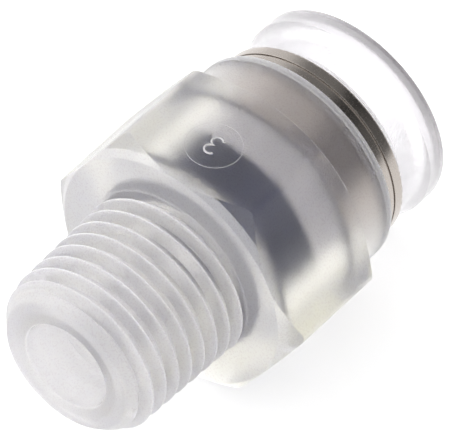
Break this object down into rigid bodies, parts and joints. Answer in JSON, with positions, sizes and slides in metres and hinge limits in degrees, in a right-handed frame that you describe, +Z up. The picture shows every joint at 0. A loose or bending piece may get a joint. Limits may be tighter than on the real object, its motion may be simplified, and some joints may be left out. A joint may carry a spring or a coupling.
{
  "type": "push-in tube fitting",
  "caption": "Straight push-in fitting: tapered male thread, hexagon and socket in one moulding, with a seal, spring claws, a guide ring and a ring that is pressed to release the tube.",
  "frame": {"origin": "centre of the overall box on the surface that the fitting lies on, under the middle of its length", "axes": "+X along the fitting's axis from the thread to the tube's end; +Z up, out of a flat of the hexagon; Y across two corners of the hexagon"},
  "size_m": [0.0318, 0.0216, 0.019],
  "materials": {
    "natural_polypropylene": "translucent, frosted by its moulded surface",
    "clear_plastic": "clear, smooth",
    "black_rubber": "smooth",
    "stainless_steel": "bright drawn"
  },
  "bodies": {
    "fitting": {"body": "natural_polypropylene", "tube_seal": "black_rubber", "backing_ring": "natural_polypropylene", "lock_claws": "stainless_steel", "guide_ring": "stainless_steel"},
    "release": {"release_ring": "clear_plastic"}
  },
  "joints": [
    {"name": "release_push", "type": "slide", "parent": "fitting", "child": "release", "axis": [-1, 0, 0], "range_m": [0, 0.001]}
  ]
}
